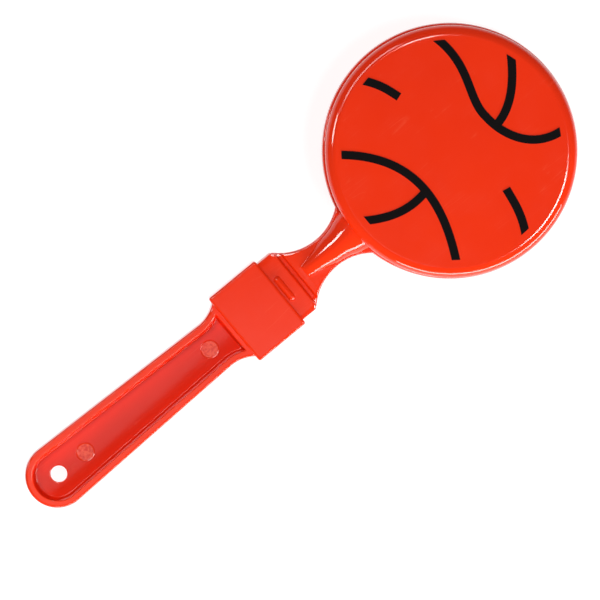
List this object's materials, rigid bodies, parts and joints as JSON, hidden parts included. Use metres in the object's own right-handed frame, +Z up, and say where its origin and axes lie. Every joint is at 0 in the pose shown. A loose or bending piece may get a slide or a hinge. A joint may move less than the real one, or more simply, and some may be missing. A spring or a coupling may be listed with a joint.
{
  "type": "basketball clapper",
  "caption": "Hand-held noisemaker: cup-shaped outer clappers with printed ball seams swing on living hinges against a flat paddle on a recessed handle.",
  "frame": {"origin": "centre of the rear clapper's flat face, on which the object lies", "axes": "+X along the handle towards the discs, +Z up out of the printed face"},
  "size_m": [0.222, 0.085, 0.0267],
  "materials": {
    "moulded_plastic": "glossy moulded polypropylene",
    "ink": "satin pad-printed ink"
  },
  "bodies": {
    "handle": {"handle_paddle": "moulded_plastic", "locking_sleeve": "moulded_plastic", "front_root_plate": "moulded_plastic", "front_hinge_web": "moulded_plastic", "rear_root_plate": "moulded_plastic", "rear_hinge_web": "moulded_plastic"},
    "front_clapper": {"front_clapper": "moulded_plastic", "printed_seams": "ink"},
    "rear_clapper": {"rear_clapper": "moulded_plastic"}
  },
  "joints": [
    {"name": "front_hinge", "type": "hinge", "parent": "handle", "child": "front_clapper", "pos_m": [-0.0657, 0, 0.01635], "axis": [0, -1, 0], "range_deg": [0, 45], "deforming": ["front_hinge_web"]},
    {"name": "rear_hinge", "type": "hinge", "parent": "handle", "child": "rear_clapper", "pos_m": [-0.0657, 0, 0.01025], "axis": [0, 1, 0], "range_deg": [0, 45], "deforming": ["rear_hinge_web"]}
  ]
}
